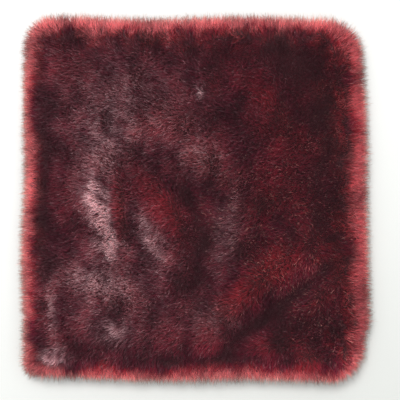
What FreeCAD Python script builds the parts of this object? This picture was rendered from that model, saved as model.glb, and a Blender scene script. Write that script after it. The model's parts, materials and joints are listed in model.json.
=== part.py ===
import FreeCAD, Part
import math
import os
import Sketcher

# A fur wind cover lying flat and empty: two plush panels sewn along three sides, each with
# a thin lining, and closed along the near side by a zip set into the seam between them.
# Millimetres. +X runs along the zip, +Y away from it, +Z up from the surface it lies on.
# The origin is the middle of the cover's underside.

os.makedirs("parts", exist_ok=True)

SIZES = (
    # the cover over its pile
    ("cover_width", 452, "across the zip side, tip of pile to tip of pile"),
    ("cover_length", 470, "from the zip side to the far side, over the pile"),
    ("far_left_taper", 3, "how far the far left corner is set in"),
    ("far_right_taper", 10, "how far the far right corner is set in"),
    ("near_left_lift", 3, "how far the near left corner is set up from the near edge"),
    ("near_left_radius", 22, "corner radius"),
    ("near_right_radius", 50, "corner radius"),
    ("far_right_radius", 50, "corner radius"),
    ("far_left_radius", 38, "corner radius"),
    ("seam_height", 13, "height of the seam plane, which is the rear panel's thickness"),
    ("front_loft", 17, "front panel's thickness, backing and pile"),
    ("front_roll", 12, "rounding of the front panel's upper edge"),
    ("rear_roll", 6, "rounding of the rear panel's lower edge"),
    ("rim_width", 12, "pile outside the seam line"),
    ("lining_play", 2.5, "strip left between the seam line and the lining"),
    ("lining_thickness", 0.8, "each lining"),
    ("pocket_gap", 1.0, "air left between the linings of the empty cover"),
    # the zip
    ("zip_setback", 16, "from the near edge to the middle of the teeth"),
    ("zip_side_margin", 28, "from the cover's side to the end of the zip's channel"),
    ("tooth_pitch", 3.0, "from tooth to tooth"),
    ("tooth_length", 1.7, "along the zip"),
    ("tooth_reach", 2.2, "from tip to root"),
    ("tooth_depth", 2.0, "through the chain"),
    ("row_gap", 1.2, "slit between the two rows, where the slider's post runs"),
    ("bead_height", 0.9, "beaded edge of the tape that the teeth hold"),
    ("bead_depth", 1.6, "through the chain"),
    ("tape_thickness", 0.6, "woven tape"),
    ("tape_width", 13, "from the teeth inwards"),
    ("slider_length", 14, "along the zip"),
    ("slider_plate", 1.1, "thickness of each plate"),
    ("lip_width", 0.7, "side lip of each plate"),
    ("post_length", 3.0, "the post that joins the plates"),
    ("post_inset", 0.8, "from the slider's leading end to the post"),
    ("slider_clearance", 0.3, "between the slider and what it runs over"),
    ("pin_radius", 0.6, "crossbar that the pull hangs on"),
    ("pin_clearance", 0.08, "between the crossbar and the pull's eye"),
    ("eye_wall", 0.7, "metal around the pull's eye"),
    ("eye_width", 2.6, "pull's eye across the zip"),
    ("lug_thickness", 0.8, "each lug that carries the crossbar"),
    ("pull_length", 22, "crossbar to tip"),
    ("pull_width", 5.0, "grip of the pull"),
    ("pull_thickness", 1.0, "sheet of the pull"),
    ("stop_length", 3.0, "end stops of the chain"),
    ("stop_gap", 0.5, "left between a stop and the slider"),
    ("tab_length", 10, "cloth tab at each end of the zip"),
    ("tab_play", 1.5, "from a stop to the end tab"),
    ("channel_end_play", 6, "channel past the end tabs"),
    # the thread
    ("thread_radius", 0.3, "sewing thread"),
    ("stitch_pitch", 6.0, "from stitch to stitch"),
    ("stitch_length", 4.2, "each stitch"),
)

doc = FreeCAD.newDocument("fur_wind_cover")
sheet = doc.addObject("Spreadsheet::Sheet", "sizes")
for row, (alias, number, note) in enumerate(SIZES, start=1):
    sheet.set(f"A{row}", note)
    sheet.set(f"B{row}", str(number))
    sheet.setAlias(f"B{row}", alias)
doc.recompute()

# Places worked out from the sizes, as expressions for the document.
HALF_WIDTH = "sizes.cover_width / 2"
HALF_LENGTH = "sizes.cover_length / 2"
CHAIN_Y = "(-sizes.cover_length / 2 + sizes.zip_setback)"
ROW_FOOT = "(sizes.row_gap / 2 + sizes.tooth_reach)"
BEAD_TOP = f"({ROW_FOOT} + sizes.bead_height / 3)"
SLIDER_HALF = f"({BEAD_TOP} + sizes.slider_clearance + sizes.lip_width)"
TAPE_LEVEL = f"({SLIDER_HALF} + sizes.slider_clearance)"
CHANNEL_HALF = f"({TAPE_LEVEL} + sizes.tape_thickness)"
CHANNEL_BACK = f"({CHAIN_Y} + sizes.tape_width)"
LINING_LEVEL = "(sizes.pocket_gap / 2 + sizes.lining_thickness)"
PLATE_LEVEL = "(sizes.tooth_depth / 2 + sizes.slider_clearance)"
CHANNEL_END = f"({HALF_WIDTH} - sizes.zip_side_margin)"
ZIP_END = f"({CHANNEL_END} - sizes.channel_end_play)"
TAB_X = f"({ZIP_END} - sizes.tab_length)"
STOP_X = f"({TAB_X} - sizes.tab_play - sizes.stop_length)"
SLIDER_X = f"({STOP_X} - sizes.stop_gap - sizes.slider_length / 2)"
EYE_RADIUS = "(sizes.pin_radius + sizes.pin_clearance + sizes.eye_wall)"
PIN_LEVEL = f"({PLATE_LEVEL} + sizes.slider_plate + {EYE_RADIUS} + sizes.slider_clearance)"

# The four corner rounds: side, end, radius, set in from the side, set in from the end.
CORNERS = (
    (-1, -1, "sizes.near_left_radius", "0", "sizes.near_left_lift"),
    (1, -1, "sizes.near_right_radius", "0", "0"),
    (1, 1, "sizes.far_right_radius", "sizes.far_right_taper", "0"),
    (-1, 1, "sizes.far_left_radius", "sizes.far_left_taper", "0"),
)
START, END, CENTRE = 1, 2, 3

parts = []


def value(expression):
    """The number an expression gives with the sheet's sizes."""
    return float(sheet.evalExpression(expression))


def new_body(label):
    """An empty body that becomes the sub-part of this name."""
    body = doc.addObject("PartDesign::Body", label)
    body.Label = label
    parts.append(body)
    return body


def origin_feature(body, role):
    """A plane or axis of the body's own origin."""
    return next(f for f in body.Origin.OriginFeatures if f.Role == role)


def new_sketch(body, name, role, offset):
    """A sketch on an origin plane of its body, moved along the plane's normal."""
    sketch = body.newObject("Sketcher::SketchObject", f"{body.Name}_{name}")
    sketch.AttachmentSupport = [(origin_feature(body, role), "")]
    sketch.MapMode = "FlatFace"
    sketch.setExpression("AttachmentOffset.Base.z", offset)
    return sketch


def fix_point(sketch, geometry, point, x, y):
    """Hold a point of the sketch at two distances from its origin."""
    for kind, expression in (("DistanceX", x), ("DistanceY", y)):
        held = Sketcher.Constraint(kind, geometry, point, value(expression))
        index = sketch.addConstraint(held)
        sketch.setExpression(f"Constraints[{index}]", expression)


def polygon(sketch, corners):
    """Draw a closed outline of straight lines through corners given as expressions."""
    points = [FreeCAD.Vector(value(x), value(y), 0) for x, y in corners]
    ends = points[1:] + points[:1]
    lines = [sketch.addGeometry(Part.LineSegment(a, b)) for a, b in zip(points, ends)]
    for index, (x, y) in enumerate(corners):
        sketch.addConstraint(
            Sketcher.Constraint("Coincident", lines[index - 1], END, lines[index], START)
        )
        fix_point(sketch, lines[index], START, x, y)


def rectangle(sketch, x0, x1, y0, y1):
    """Draw a rectangle between two pairs of expressions."""
    polygon(sketch, [(x0, y0), (x1, y0), (x1, y1), (x0, y1)])


def circle(sketch, x, y, radius):
    """Draw a circle from expressions."""
    centre = FreeCAD.Vector(value(x), value(y), 0)
    shape = Part.Circle(centre, FreeCAD.Vector(0, 0, 1), value(radius))
    index = sketch.addGeometry(shape)
    fix_point(sketch, index, CENTRE, x, y)
    held = sketch.addConstraint(Sketcher.Constraint("Radius", index, value(radius)))
    sketch.setExpression(f"Constraints[{held}]", radius)


def corner_rounds(inset):
    """Centre and radius expressions of the four corner rounds, set in by an inset."""
    rounds = []
    for side, end, radius, side_in, end_in in CORNERS:
        x = f"({side}) * ({HALF_WIDTH} - {side_in} - {radius})"
        y = f"({end}) * ({HALF_LENGTH} - {end_in} - {radius})"
        rounds.append((x, y, f"{radius} - ({inset})"))
    return rounds


def cover_outline(sketch, inset):
    """Draw the cover's outline, a belt wrapped round the four corner rounds."""
    rounds = corner_rounds(inset)
    centres = [FreeCAD.Vector(value(x), value(y), 0) for x, y, _ in rounds]
    radii = [value(radius) for _, _, radius in rounds]
    normals = []
    for index, centre in enumerate(centres):
        following = (index + 1) % len(rounds)
        step = centres[following] - centre
        along = step.normalize()
        across = FreeCAD.Vector(along.y, -along.x, 0)
        gap = (centres[following] - centre).Length
        lean = (radii[index] - radii[following]) / gap
        normals.append(along * lean + across * math.sqrt(1 - lean * lean))
    arcs = []
    for index, centre in enumerate(centres):
        arrive, leave = normals[index - 1], normals[index]
        start = math.atan2(arrive.y, arrive.x)
        sweep = (math.atan2(leave.y, leave.x) - start) % math.tau
        ring = Part.Circle(centre, FreeCAD.Vector(0, 0, 1), radii[index])
        arcs.append(sketch.addGeometry(Part.ArcOfCircle(ring, start, start + sweep)))
    for index, (x, y, radius) in enumerate(rounds):
        following = (index + 1) % len(rounds)
        line = sketch.addGeometry(
            Part.LineSegment(
                centres[index] + normals[index] * radii[index],
                centres[following] + normals[index] * radii[following],
            )
        )
        for arc, arc_end, line_end in ((arcs[index], END, START), (arcs[following], START, END)):
            sketch.addConstraint(Sketcher.Constraint("Tangent", line, line_end, arc, arc_end))
        fix_point(sketch, arcs[index], CENTRE, x, y)
        held = sketch.addConstraint(Sketcher.Constraint("Radius", arcs[index], radii[index]))
        sketch.setExpression(f"Constraints[{held}]", radius)


def add(body, kind, name, sketch, length, reverse=False):
    """Pad or pocket a sketch and check that the body's volume moved the right way."""
    before = body.Shape.Volume if body.Tip else 0
    feature = body.newObject(f"PartDesign::{kind}", f"{body.Name}_{name}")
    feature.Profile = sketch
    feature.Reversed = reverse
    feature.setExpression("Length", length)
    doc.recompute()
    gained = body.Shape.Volume - before
    if gained * (1 if kind == "Pad" else -1) <= 0:
        raise ValueError(f"{feature.Name} changed nothing")
    return feature


def round_edges(body, name, radius, wanted):
    """Fillet the edges of the body that a test picks."""
    base = body.Tip
    names = [f"Edge{i}" for i, edge in enumerate(base.Shape.Edges, start=1) if wanted(edge)]
    fillet = body.newObject("PartDesign::Fillet", f"{body.Name}_{name}")
    fillet.Base = (base, names)
    fillet.setExpression("Radius", radius)
    doc.recompute()


def row_of(body, name, feature, pitch, count):
    """Repeat a feature along X."""
    pattern = body.newObject("PartDesign::LinearPattern", f"{body.Name}_{name}")
    pattern.Originals = [feature]
    pattern.Direction = (origin_feature(body, "X_Axis"), [""])
    pattern.setExpression("Occurrences", count)
    pattern.setExpression("Length", f"({count} - 1) * {pitch}")
    body.Tip = pattern
    doc.recompute()


# ---- plush panels ---------------------------------------------------------------------


def fur_panel(label, level, loft, roll, flat_level, upward):
    """A panel's backing and pile as one plump slab, hollowed for its lining and the zip."""
    body = new_body(label)
    outline = new_sketch(body, "outline", "XY_Plane", level)
    cover_outline(outline, "0")
    add(body, "Pad", "pile", outline, loft)
    top = value(flat_level)
    round_edges(
        body,
        "roll",
        roll,
        lambda edge: all(abs(v.Point.z - top) < 0.01 for v in edge.Vertexes),
    )
    recess = new_sketch(body, "recess", "XY_Plane", "sizes.seam_height")
    cover_outline(recess, "sizes.rim_width")
    add(body, "Pocket", "lining_recess", recess, LINING_LEVEL, upward)
    channel = new_sketch(body, "channel", "XY_Plane", "sizes.seam_height")
    rectangle(channel, f"-{CHANNEL_END}", CHANNEL_END, f"-{HALF_LENGTH} - 1", CHANNEL_BACK)
    add(body, "Pocket", "zip_channel", channel, CHANNEL_HALF, upward)


def front_fur_panel():
    fur_panel(
        "front_fur_panel",
        "sizes.seam_height",
        "sizes.front_loft",
        "sizes.front_roll",
        "sizes.seam_height + sizes.front_loft",
        True,
    )


def rear_fur_panel():
    fur_panel(
        "rear_fur_panel", "0", "sizes.seam_height", "sizes.rear_roll", "0", False
    )


# ---- linings --------------------------------------------------------------------------


def lining(label, side):
    """A thin lining with its near edge turned up as a hem that meets the zip tape."""
    body = new_body(label)
    inner = f"sizes.seam_height + ({side}) * sizes.pocket_gap / 2"
    reverse = side < 0
    outline = new_sketch(body, "outline", "XY_Plane", inner)
    cover_outline(outline, "sizes.rim_width + sizes.lining_play")
    add(body, "Pad", "cloth", outline, "sizes.lining_thickness", reverse)
    waste = new_sketch(body, "waste", "XY_Plane", inner)
    hem_back = f"({CHANNEL_BACK} - sizes.lining_play)"
    rectangle(waste, f"-{HALF_WIDTH}", HALF_WIDTH, f"-{HALF_LENGTH}", hem_back)
    add(body, "Pocket", "zip_side", waste, "sizes.lining_thickness", not reverse)
    hem = new_sketch(body, "hem", "XY_Plane", inner)
    rectangle(
        hem, f"-{ZIP_END}", ZIP_END, hem_back, f"{hem_back} + sizes.lining_thickness"
    )
    add(body, "Pad", "hem_lip", hem, f"{TAPE_LEVEL} - sizes.pocket_gap / 2", reverse)


# ---- zip ------------------------------------------------------------------------------


def zip_tape(label, side):
    """A woven tape: a short leg up from the teeth, then flat against the panel."""
    body = new_body(label)
    profile = new_sketch(body, "profile", "YZ_Plane", f"-{ZIP_END}")
    near = f"{CHAIN_Y} - sizes.tape_thickness / 2"
    inner = f"{CHAIN_Y} + sizes.tape_thickness / 2"

    def level(distance):
        return f"sizes.seam_height + ({side}) * ({distance})"

    polygon(
        profile,
        [
            (near, level(BEAD_TOP)),
            (inner, level(BEAD_TOP)),
            (inner, level(TAPE_LEVEL)),
            (CHANNEL_BACK, level(TAPE_LEVEL)),
            (CHANNEL_BACK, level(CHANNEL_HALF)),
            (near, level(CHANNEL_HALF)),
        ],
    )
    add(body, "Pad", "strip", profile, f"2 * {ZIP_END}")


def zip_teeth(label, side, shift):
    """A row of moulded teeth on the beaded edge of its tape, all one piece."""
    body = new_body(label)

    def level(distance):
        return f"sizes.seam_height + ({side}) * ({distance})"

    bead = new_sketch(body, "bead_section", "YZ_Plane", f"-{STOP_X}")
    rectangle(
        bead,
        f"{CHAIN_Y} - sizes.bead_depth / 2",
        f"{CHAIN_Y} + sizes.bead_depth / 2",
        level(f"{BEAD_TOP} - sizes.bead_height"),
        level(BEAD_TOP),
    )
    add(body, "Pad", "bead", bead, f"2 * {STOP_X}")
    tooth = new_sketch(
        body, "tooth_outline", "XZ_Plane", f"-({CHAIN_Y} + sizes.tooth_depth / 2)"
    )
    start = f"(-{STOP_X} + sizes.tooth_length + {shift} * sizes.tooth_pitch)"
    polygon(
        tooth,
        [
            (f"{start} - sizes.tooth_length / 3", level("sizes.row_gap / 2")),
            (f"{start} + sizes.tooth_length / 3", level("sizes.row_gap / 2")),
            (f"{start} + sizes.tooth_length / 2", level(ROW_FOOT)),
            (f"{start} - sizes.tooth_length / 2", level(ROW_FOOT)),
        ],
    )
    first = add(body, "Pad", "tooth", tooth, "sizes.tooth_depth")
    count = f"floor((2 * {STOP_X} - 2 * sizes.tooth_length) / sizes.tooth_pitch)"
    row_of(body, "row", first, "sizes.tooth_pitch", count)


def end_stop(label, side_levels, x0, x1):
    """A metal clip pinched over the chain's end, in front of and behind the beads."""
    body = new_body(label)
    section = new_sketch(body, "section", "YZ_Plane", x0)
    half = "(sizes.tooth_depth / 2)"
    rectangle(section, f"{CHAIN_Y} - {half}", f"{CHAIN_Y} + {half}", *side_levels)
    add(body, "Pad", "clip", section, f"({x1}) - ({x0})")
    round_edges(
        body,
        "soften",
        "sizes.thread_radius",
        lambda edge: abs(edge.Vertexes[0].Point.x - edge.Vertexes[-1].Point.x) > 1,
    )


def end_stops():
    """Two stops at the closing end, one on each row, and one across both at the other."""
    outer, inner = f"{BEAD_TOP}", "sizes.row_gap / 2"
    far = f"{STOP_X} + sizes.stop_length"
    for label, side in (("zip_top_stop_front", 1), ("zip_top_stop_rear", -1)):
        levels = [f"sizes.seam_height + ({side}) * ({d})" for d in (inner, outer)]
        end_stop(label, levels, STOP_X, far)
    levels = [f"sizes.seam_height + ({side}) * {outer}" for side in (-1, 1)]
    end_stop("zip_bottom_stop", levels, f"-({far})", f"-{STOP_X}")


def zip_end_tab(label, side):
    """A folded cloth tab that joins the two tapes past the end of the teeth."""
    body = new_body(label)
    section = new_sketch(body, "section", "YZ_Plane", TAB_X if side > 0 else f"-{ZIP_END}")
    rectangle(
        section,
        f"{CHAIN_Y} + sizes.tape_thickness / 2",
        f"{CHANNEL_BACK} - sizes.lining_play",
        f"sizes.seam_height - {TAPE_LEVEL}",
        f"sizes.seam_height + {TAPE_LEVEL}",
    )
    add(body, "Pad", "fold", section, "sizes.tab_length")


def place_on_slider(body):
    """Stand a body built round the chain's middle where the closed slider rests."""
    body.setExpression("Placement.Base.x", SLIDER_X)
    body.setExpression("Placement.Base.y", CHAIN_Y)
    body.setExpression("Placement.Base.z", "sizes.seam_height")


def zip_slider():
    """The slider: two plates with turned lips, a post between the rows, and pull lugs."""
    body = new_body("zip_slider")
    place_on_slider(body)
    half_length = "sizes.slider_length / 2"
    half_width = SLIDER_HALF
    plate_out = f"({PLATE_LEVEL} + sizes.slider_plate)"
    slot_half = "(sizes.tape_thickness / 2 + sizes.slider_clearance)"
    section = new_sketch(body, "section", "YZ_Plane", f"-{half_length}")
    rectangle(section, f"-{plate_out}", plate_out, f"-{half_width}", half_width)
    add(body, "Pad", "block", section, "sizes.slider_length")
    round_edges(
        body,
        "nose",
        f"{SLIDER_HALF} / 2",
        lambda edge: abs(edge.Vertexes[0].Point.y - edge.Vertexes[-1].Point.y) > 1,
    )
    tunnel = new_sketch(body, "tunnel_section", "YZ_Plane", f"-{half_length} - 1")
    inner_side = f"{half_width} - sizes.lip_width"
    rectangle(tunnel, f"-{PLATE_LEVEL}", PLATE_LEVEL, f"-({inner_side})", inner_side)
    bore = f"sizes.slider_length - sizes.post_inset - sizes.post_length + 1"
    add(body, "Pocket", "tunnel", tunnel, bore, True)
    for name, side in (("front_slot", 1), ("rear_slot", -1)):
        slot = new_sketch(body, f"{name}_section", "YZ_Plane", f"-{half_length} - 1")
        rectangle(slot, f"-{slot_half}", slot_half, f"({side}) * ({inner_side})",
                  f"({side}) * ({half_width} + 1)")
        add(body, "Pocket", name, slot, "sizes.slider_length + 2", True)
        mouth = new_sketch(body, f"{name}_mouth", "YZ_Plane", f"{half_length} + 1")
        post_half = "(sizes.row_gap / 2 - sizes.slider_clearance)"
        rectangle(mouth, f"-{PLATE_LEVEL}", PLATE_LEVEL, f"({side}) * {post_half}",
                  f"({side}) * ({inner_side})")
        add(body, "Pocket", f"{name}_run", mouth,
            "sizes.post_inset + sizes.post_length + 2", False)
    front = new_sketch(body, "lead_section", "YZ_Plane", f"{half_length} + 1")
    rectangle(front, f"-{PLATE_LEVEL}", PLATE_LEVEL, "-(sizes.row_gap / 2)", "sizes.row_gap / 2")
    add(body, "Pocket", "lead", front, "sizes.post_inset + 1", False)
    for name, side in (("front_lug", 1), ("rear_lug", -1)):
        lug_in = "sizes.eye_width / 2 + sizes.slider_clearance"
        lug = new_sketch(body, f"{name}_outline", "XY_Plane",
                         f"({side}) * ({lug_in})")
        wide = "(sizes.pin_radius * 2)"
        polygon(
            lug,
            [
                (f"-{wide}", f"-({plate_out} - sizes.slider_plate / 2)"),
                ("-sizes.pin_radius", f"-({PIN_LEVEL} + sizes.pin_radius)"),
                ("sizes.pin_radius", f"-({PIN_LEVEL} + sizes.pin_radius)"),
                (wide, f"-({plate_out} - sizes.slider_plate / 2)"),
            ],
        )
        add(body, "Pad", name, lug, "sizes.lug_thickness", side < 0)
    bar = new_sketch(body, "crossbar_section", "XY_Plane",
                     "-(sizes.eye_width / 2 + sizes.slider_clearance)")
    circle(bar, "0", f"-{PIN_LEVEL}", "sizes.pin_radius * 0.999")
    add(body, "Pad", "crossbar", bar, "sizes.eye_width + 2 * sizes.slider_clearance")


def zip_pull():
    """The pull: an eye on the crossbar and a tapered grip with a slot, lying on the chain."""
    body = new_body("zip_pull")
    place_on_slider(body)
    grip = new_sketch(body, "grip_outline", "XZ_Plane",
                      f"{PIN_LEVEL} - sizes.pull_thickness / 2")
    neck = "sizes.eye_width / 2"
    wide = "sizes.pull_width / 2"
    polygon(
        grip,
        [
            ("0", f"-{neck}"),
            ("0", neck),
            (f"-2 * {EYE_RADIUS}", neck),
            (f"-3 * {EYE_RADIUS}", wide),
            ("-sizes.pull_length", wide),
            ("-sizes.pull_length", f"-{wide}"),
            (f"-3 * {EYE_RADIUS}", f"-{wide}"),
            (f"-2 * {EYE_RADIUS}", f"-{neck}"),
        ],
    )
    add(body, "Pad", "grip", grip, "sizes.pull_thickness")
    round_edges(
        body,
        "tip",
        "sizes.pull_width / 3",
        lambda edge: abs(edge.Vertexes[0].Point.y - edge.Vertexes[-1].Point.y) > 0.1
        and edge.Vertexes[0].Point.x < -0.9 * value("sizes.pull_length"),
    )
    eye = new_sketch(body, "eye_section", "XY_Plane", f"-{neck}")
    circle(eye, "0", f"-{PIN_LEVEL}", EYE_RADIUS)
    add(body, "Pad", "eye", eye, "sizes.eye_width")
    hole = new_sketch(body, "hole_section", "XY_Plane", f"-{neck} - 1")
    circle(hole, "0", f"-{PIN_LEVEL}", "sizes.pin_radius + sizes.pin_clearance")
    add(body, "Pocket", "hole", hole, "sizes.eye_width + 2", True)
    slot = new_sketch(body, "slot_outline", "XZ_Plane", f"{PIN_LEVEL} - sizes.pull_thickness")
    rectangle(slot, "-0.85 * sizes.pull_length", "-0.45 * sizes.pull_length",
              "-sizes.pull_width / 5", "sizes.pull_width / 5")
    add(body, "Pocket", "slot", slot, "2 * sizes.pull_thickness", True)


# ---- sewing thread --------------------------------------------------------------------


def stitch_row(label, start, direction, length):
    """A straight row of stitches, each a short round thread.

    start is the row's first point, direction its unit vector and length its extent.
    """
    radius = value("sizes.thread_radius")
    pitch = value("sizes.stitch_pitch")
    stitch = value("sizes.stitch_length")
    count = int((length - stitch) // pitch) + 1
    threads = [
        Part.makeCylinder(radius, stitch, start + direction * (index * pitch), direction)
        for index in range(count)
    ]
    feature = doc.addObject("Part::Feature", label)
    feature.Label = label
    feature.Shape = Part.makeCompound(threads)
    feature.Placement = FreeCAD.Placement()
    parts.append(feature)


def seam_stitching():
    """Thread along the three sewn sides, in the corner where the two panels meet."""
    inset = value("sizes.rim_width + sizes.thread_radius")
    rounds = [tuple(value(part) for part in each) for each in corner_rounds(str(inset))]
    sides = (("seam_stitching_right", 1), ("seam_stitching_far", 2), ("seam_stitching_left", 3))
    height = value("sizes.seam_height")
    for label, index in sides:
        (x0, y0, r0), (x1, y1, r1) = rounds[index], rounds[(index + 1) % len(rounds)]
        step = FreeCAD.Vector(x1 - x0, y1 - y0, 0)
        span = step.Length
        along = FreeCAD.Vector(step.x / span, step.y / span, 0)
        across = FreeCAD.Vector(along.y, -along.x, 0)
        lean = (r0 - r1) / span
        normal = along * lean + across * math.sqrt(1 - lean * lean)
        start = FreeCAD.Vector(x0, y0, height) + normal * r0
        end = FreeCAD.Vector(x1, y1, height) + normal * r1
        run = end - start
        length = run.Length
        stitch_row(label, start, run * (1 / length), length)


def zip_stitching():
    """Thread that holds each tape to its panel, lying on the tape's free face."""
    radius = value("sizes.thread_radius")
    end = value(TAB_X)
    y = value(f"({CHAIN_Y} + {CHANNEL_BACK}) / 2")
    for label, side in (("zip_stitching_front", 1), ("zip_stitching_rear", -1)):
        z = value("sizes.seam_height") + side * (value(TAPE_LEVEL) - radius)
        start = FreeCAD.Vector(-end, y, z)
        stitch_row(label, start, FreeCAD.Vector(1, 0, 0), 2 * end)


# ---- assembly -------------------------------------------------------------------------

front_fur_panel()
rear_fur_panel()
lining("front_lining", 1)
lining("rear_lining", -1)
zip_tape("zip_tape_front", 1)
zip_tape("zip_tape_rear", -1)
zip_teeth("zip_teeth_front", 1, "0")
zip_teeth("zip_teeth_rear", -1, "0.5")
end_stops()
zip_end_tab("zip_end_tab_left", -1)
zip_end_tab("zip_end_tab_right", 1)
zip_slider()
zip_pull()
seam_stitching()
zip_stitching()
doc.recompute()

for obj in doc.Objects:
    if "Invalid" in obj.State or "Error" in obj.State:
        raise ValueError(f"{obj.Name} is {obj.State}")
for part in parts:
    if part.Shape.isNull() or not part.Shape.isValid():
        raise ValueError(f"{part.Label} has no valid shape")
for part in parts:
    part.Shape.exportStep(f"parts/{part.Label}.step")
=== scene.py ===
"""A furry wind cover: a flat, empty, square cover of long plush with a zip in its near side.

The pile is real strands that grow from two knitted backings. Lengths are in metres and every
piece is built in the part's own frame, lying on z = 0 with +Y away from the zip.
"""

import json
import logging
import math
from dataclasses import dataclass
from enum import Enum

import bpy
import numpy as np
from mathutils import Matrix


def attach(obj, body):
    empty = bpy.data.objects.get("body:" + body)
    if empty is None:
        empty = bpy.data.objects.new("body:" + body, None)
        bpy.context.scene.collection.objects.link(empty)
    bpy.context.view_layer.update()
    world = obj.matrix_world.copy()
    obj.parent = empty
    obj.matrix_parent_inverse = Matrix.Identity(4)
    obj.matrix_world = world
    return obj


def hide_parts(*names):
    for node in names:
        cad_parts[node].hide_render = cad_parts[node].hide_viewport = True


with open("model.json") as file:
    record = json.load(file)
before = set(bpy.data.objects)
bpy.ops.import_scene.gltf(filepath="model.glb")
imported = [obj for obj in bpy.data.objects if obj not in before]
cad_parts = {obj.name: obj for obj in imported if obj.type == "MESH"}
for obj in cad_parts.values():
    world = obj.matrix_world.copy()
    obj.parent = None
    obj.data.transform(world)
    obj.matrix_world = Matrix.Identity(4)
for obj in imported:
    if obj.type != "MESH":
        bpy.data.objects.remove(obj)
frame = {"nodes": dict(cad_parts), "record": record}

LOG = logging.getLogger("wind_cover")
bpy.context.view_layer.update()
BAKE_MAP = "OFBake"
FULL_TURN = math.tau
ROLL_SEED = 11
RUCK_SEED = 31
# a lock's place in the table of shared scatters, so that neighbours differ
LOCK_PRIMES = (7919, 104729)
LOCK_TABLE = 65521
# a strand's width at its bend against its root, its lowest vertex, and a direction off its line
WAIST = 0.72
LEAST_LEVEL = 0.0002
ASIDE = (0.31, -0.22, 0.92)


class Side(Enum):
    """The two layers of the cover, by the way each one faces."""

    FRONT = 1
    REAR = -1


# ---- smooth fields ---------------------------------------------------------------------


def smooth(values: np.ndarray, low: float, high: float) -> np.ndarray:
    """Ease from 0 at low to 1 at high, the cubic 3t^2 - 2t^3.

    Args:
        values: where to read the ease.
        low: value that gives 0.
        high: value that gives 1.

    Returns:
        The eased numbers, in the shape of values.
    """
    t = np.clip((values - low) / (high - low), 0.0, 1.0)
    return t * t * (3.0 - 2.0 * t)


def unit(vectors: np.ndarray) -> np.ndarray:
    """Each row scaled to length one."""
    return vectors / np.maximum(np.linalg.norm(vectors, axis=1, keepdims=True), 1e-9)


@dataclass(frozen=True)
class Ripple:
    """A smooth random field over the cover.

    Attributes:
        seed: start of the random numbers.
        wavelength: typical distance between crests.
        waves: how many cosines are added.
    """

    seed: int
    wavelength: float
    waves: int = 14

    def at(self, points: np.ndarray) -> np.ndarray:
        """Sum cosines of random heading, length and phase, scaled to a spread of one.

        Args:
            points: x and y of each place.

        Returns:
            One number for each point, mostly from -2 to 2.
        """
        rng = np.random.default_rng(self.seed)
        heading = rng.uniform(0.0, FULL_TURN, self.waves)
        wave = FULL_TURN / (self.wavelength * rng.uniform(0.55, 1.9, self.waves))
        phase = rng.uniform(0.0, FULL_TURN, self.waves)
        run = points[:, :1] * np.cos(heading) + points[:, 1:2] * np.sin(heading)
        return np.cos(run * wave + phase).sum(axis=1) * math.sqrt(2.0 / self.waves)


@dataclass(frozen=True)
class Patch:
    """A soft oval place on the cover; its sizes are shares of the cover's half sizes.

    Attributes:
        across: middle, from 0 at the centre to 1 at the right side.
        away: middle, from 0 at the centre to 1 at the far side.
        reach: half its length.
        spread: half its width.
        turn: degrees from +X to its length.
        strength: weight at the middle.
    """

    across: float
    away: float
    reach: float
    spread: float
    turn: float
    strength: float

    def at(self, shares: np.ndarray) -> np.ndarray:
        """A bell of the squared distance in the oval's own axes."""
        c, s = math.cos(math.radians(self.turn)), math.sin(math.radians(self.turn))
        dx, dy = shares[:, 0] - self.across, shares[:, 1] - self.away
        along = (dx * c + dy * s) / self.reach
        sideways = (dy * c - dx * s) / self.spread
        return self.strength * np.exp(-(along**2) - sideways**2)


def patches_at(patches: tuple[Patch, ...], shares: np.ndarray) -> np.ndarray:
    """The sum of several patches at each place."""
    return sum((patch.at(shares) for patch in patches), np.zeros(len(shares)))


# ---- the cover's shape -----------------------------------------------------------------


@dataclass(frozen=True)
class CornerRound:
    """One rounded corner of the outline.

    Attributes:
        side: -1 on the left, 1 on the right.
        end: -1 on the near side, 1 on the far side.
        radius: of the pile's outline.
        side_in: how far the corner is set in from the side.
        end_in: how far it is set in from the end.
    """

    side: int
    end: int
    radius: float
    side_in: float = 0.0
    end_in: float = 0.0


@dataclass(frozen=True)
class EdgeShifts:
    """How the laid cover's edge departs from its true outline.

    Attributes:
        sides: distances across from the middle between which a side's shifts grow.
        ends: distances along from the middle between which an end's shifts grow.
        corner: how far the near right corner is drawn in.
        corner_band: distances towards the zip between which that grows.
        bulge: how far the right side swells.
        bulge_at: where it swells most.
        bulge_reach: half the length of the swelling.
        wave: how far the left side and both ends waver.
        side_rate: radians a metre of the left side's waver.
        side_phase: where that waver starts, in radians.
        end_rate: radians a metre of the ends' waver.
    """

    sides: tuple[float, float] = (0.15, 0.215)
    ends: tuple[float, float] = (0.15, 0.22)
    corner: float = 0.0065
    corner_band: tuple[float, float] = (0.158, 0.176)
    bulge: float = 0.0030
    bulge_at: float = 0.09
    bulge_reach: float = 0.06
    wave: float = 0.0016
    side_rate: float = 31.0
    side_phase: float = 0.6
    end_rate: float = 27.0

    def moved(self, points: np.ndarray) -> np.ndarray:
        """Shift points sideways by the edge's pulls, bulges and wavers.

        Args:
            points: rows that start with x and y.

        Returns:
            A copy with x and y moved.
        """
        moved = points.copy()
        x, y = points[:, 0], points[:, 1]
        right = smooth(x, *self.sides)
        moved[:, 0] -= self.corner * right * smooth(-y, *self.corner_band)
        moved[:, 0] += self.bulge * right * np.exp(-(((y - self.bulge_at) / self.bulge_reach) ** 2))
        left = self.wave * smooth(-x, *self.sides)
        moved[:, 0] += left * np.sin(y * self.side_rate + self.side_phase)
        moved[:, 1] += self.wave * smooth(np.abs(y), *self.ends) * np.sin(x * self.end_rate)
        return moved


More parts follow.
